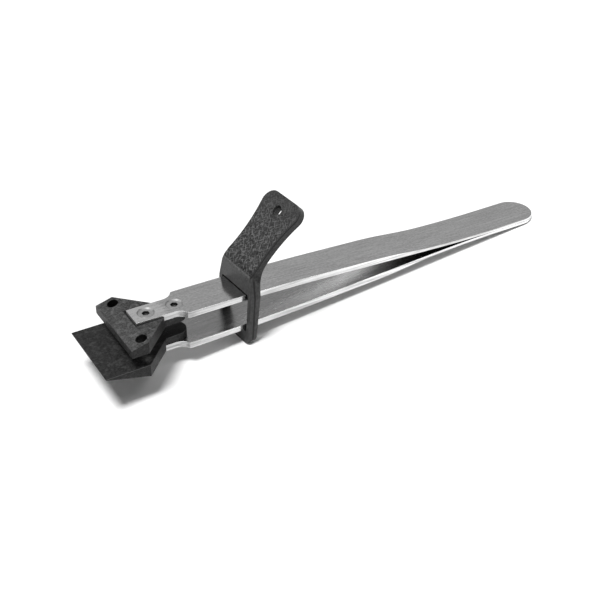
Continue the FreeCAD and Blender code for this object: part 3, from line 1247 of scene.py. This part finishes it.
@dataclass(frozen=True)
class Overhead:
    """The main light: a broad soft source far above the tool."""

    toward: tuple[float, float, float] = (-0.21, -0.06, 1.0)
    spread: float = math.radians(18.0)
    strength: float = 3.5

    def build(self) -> None:
        """Hangs the light."""
        data = bpy.data.lights.new("overhead", "SUN")
        data.angle = self.spread
        data.energy = self.strength
        made = bpy.data.objects.new("overhead", data)
        made.rotation_euler = Vector(self.toward).to_track_quat("Z", "Y").to_euler()
        bpy.context.scene.collection.objects.link(made)


@dataclass(frozen=True)
class Studio:
    """Pale floor, soft lights and the camera."""

    tool: ToolFrame
    floor_size: float = 40.0
    floor_drop: float = 0.02 * MM
    sky: float = 0.175
    backdrop: float = 1.0
    aim_x: float = 50.0 * MM
    cards: tuple[SoftBox, ...] = (
        SoftBox("rear_card", (0.60, 0.98, 0.80), 1.7, 1.6),
        SoftBox("side_card", (0.52, -0.42, 1.02), 0.5, 1.5),
        SoftBox("left_card", (-0.75, 1.05, 0.62), 1.4, 0.95),
        SoftBox("near_card", (0.45, -1.10, 0.55), 1.2, 0.60),
    )
    eye: tuple[float, float, float] = (-73.846 * MM, -193.897 * MM, 148.655 * MM)
    azimuth: float = math.radians(-31.58)
    elevation: float = math.radians(34.13)
    roll: float = math.radians(0.71)
    lens: float = 65.26
    sensor: float = 36.0

    def floor(self) -> None:
        """Lays the floor."""
        bm = bmesh.new()
        bmesh.ops.create_grid(bm, x_segments=4, y_segments=4, size=self.floor_size / 2)
        mesh = bpy.data.meshes.new("floor")
        bm.to_mesh(mesh)
        bm.free()
        mesh.transform(Matrix.Translation((0, 0, -self.floor_drop)))
        mesh.materials.append(FloorPaint().make())
        made = bpy.data.objects.new("floor", mesh)
        bpy.context.scene.collection.objects.link(made)
        made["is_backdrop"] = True

    def light(self) -> None:
        """Hangs the soft lights."""
        aim = self.tool.point(self.aim_x, 0, 0)
        Overhead().build()
        for card in self.cards:
            card.build(aim)

    def room(self) -> None:
        """Sets the even room light, and the paler backdrop that only the camera sees."""
        world = bpy.data.worlds.new("room")
        world.use_nodes = True
        tree = world.node_tree
        dim = tree.nodes["Background"]
        pale = tree.nodes.new("ShaderNodeBackground")
        for background, strength in ((dim, self.sky), (pale, self.backdrop)):
            background.inputs["Color"].default_value = (1, 1, 1, 1)
            background.inputs["Strength"].default_value = strength
        seen = tree.nodes.new("ShaderNodeLightPath")
        either = tree.nodes.new("ShaderNodeMixShader")
        tree.links.new(seen.outputs["Is Camera Ray"], either.inputs["Fac"])
        tree.links.new(dim.outputs[0], either.inputs[1])
        tree.links.new(pale.outputs[0], either.inputs[2])
        tree.links.new(either.outputs[0], tree.nodes["World Output"].inputs["Surface"])
        bpy.context.scene.world = world

    def camera(self) -> None:
        """Sets the camera up in the tool's frame and makes it the scene's."""
        a, e = self.azimuth, self.elevation
        back = Vector((math.sin(a) * math.cos(e), -math.cos(a) * math.cos(e), math.sin(e)))
        right = Vector((math.cos(a), math.sin(a), 0))
        turn = Matrix((right, back.cross(right), back)).transposed().to_4x4()
        data = bpy.data.cameras.new("camera")
        data.lens = self.lens
        data.sensor_width = self.sensor
        data.clip_start = 0.01
        data.clip_end = 20
        made = bpy.data.objects.new("camera", data)
        rolled = turn @ Matrix.Rotation(self.roll, 4, "Z")
        made.matrix_world = self.tool.matrix() @ Matrix.Translation(self.eye) @ rolled
        bpy.context.scene.collection.objects.link(made)
        bpy.context.scene.camera = made

    def build(self) -> None:
        """Sets the whole stage."""
        self.floor()
        self.light()
        self.room()
        self.camera()
        bpy.context.scene.view_settings.view_transform = "Standard"


# ------------------------------------------------------------------------------------ tongs


@dataclass(frozen=True)
class Tongs:
    """The whole tool."""

    tool: ToolFrame
    screw_places: tuple[str, str] = ("front", "rear")

    def build(self) -> None:
        """Builds every piece in order."""
        # one steel in lit and shaded copies: inner faces, sides and countersinks painted darker as
        # painted shade, arrises near white as a painted highlight
        finishes = [  # outer face, inner face, sides, arrises, countersinks
            SatinSteel(painted_tab_light=0.32).make(),
            SatinSteel(
                "inner_strip_steel",
                0.44,
                0.24,
                painted_sheen_mm=(28.0, 66.0),
                painted_sheen_gain=0.5,
                wedge_shade=0.5,
            ).make(),
            PolishedEdge(
                "strip_side_steel", 0.58, 0.18, painted_sheen_gain=0.42, neck_dullness=0.42
            ).make(),
            PolishedEdge("strip_arris_steel", 0.97, 0.16).make(),
            PolishedEdge("countersink_steel", 0.36, 0.30).make(),
        ]
        # the socket finish is the screw steel painted dark as shade in the recess
        socket = ScrewSteel("screw_socket_painted_shade", 0.0, 0.07, 0.45).make()
        steel = {}
        for half in Half:
            strip = SpringStrip(half, self.tool)
            strip.build(finishes)
            for place, x in zip(self.screw_places, strip.screw_x):
                if place not in steel:
                    steel[place] = ScrewSteel(f"screw_steel_{place}", x).make()
                CountersunkScrew(half, place, strip, x).build(steel[place], socket)
        JawPair(self.tool).build()
        lock = SlideLock(self.tool)
        lock.build(lock.finish().make())


def write_sizes() -> None:
    """Works out the CAD box and the visual model's box as plain lists."""
    boxes = {"cad": CAD_BOX, "visual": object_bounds()}
    plain = {name: [list(corner) for corner in box] for name, box in boxes.items()}


def main() -> None:
    """Builds the tongs and the studio."""
    logging.basicConfig(level=logging.INFO, format="%(name)s: %(message)s")
    tool = ToolFrame.from_joints(frame["joints"], PIVOT_X)
    Tongs(tool).build()
    Studio(tool).build()
    write_sizes()


if __name__ == "__main__":
    main()
